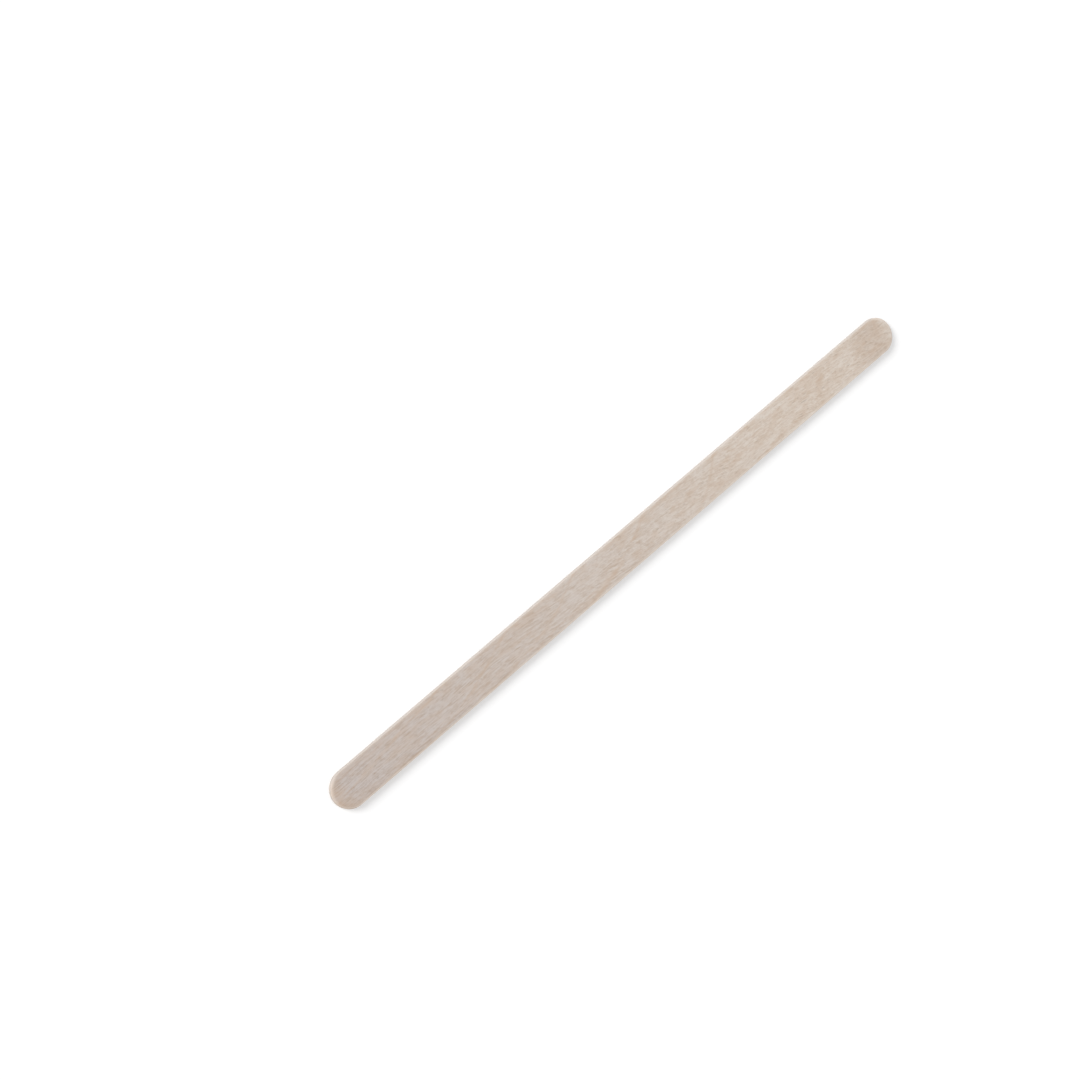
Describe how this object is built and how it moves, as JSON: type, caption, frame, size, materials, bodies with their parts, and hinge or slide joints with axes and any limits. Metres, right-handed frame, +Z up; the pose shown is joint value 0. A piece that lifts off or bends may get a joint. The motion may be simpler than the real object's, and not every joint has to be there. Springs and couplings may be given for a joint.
{
  "type": "wooden waxing spatula",
  "caption": "Long flat wooden stick of even width and thickness, with a half-round end at each tip and softened edges, for spreading wax.",
  "frame": {"origin": "middle of the underside, halfway between the tips and the long edges", "axes": "+X along the stick's length, +Y across its width, +Z up out of the upper face"},
  "size_m": [0.19, 0.0094, 0.0016],
  "materials": {
    "birch": "pale unfinished birch veneer, tumbled smooth, matte"
  },
  "bodies": {
    "root": {"waxing_spatula": "birch"}
  },
  "joints": []
}
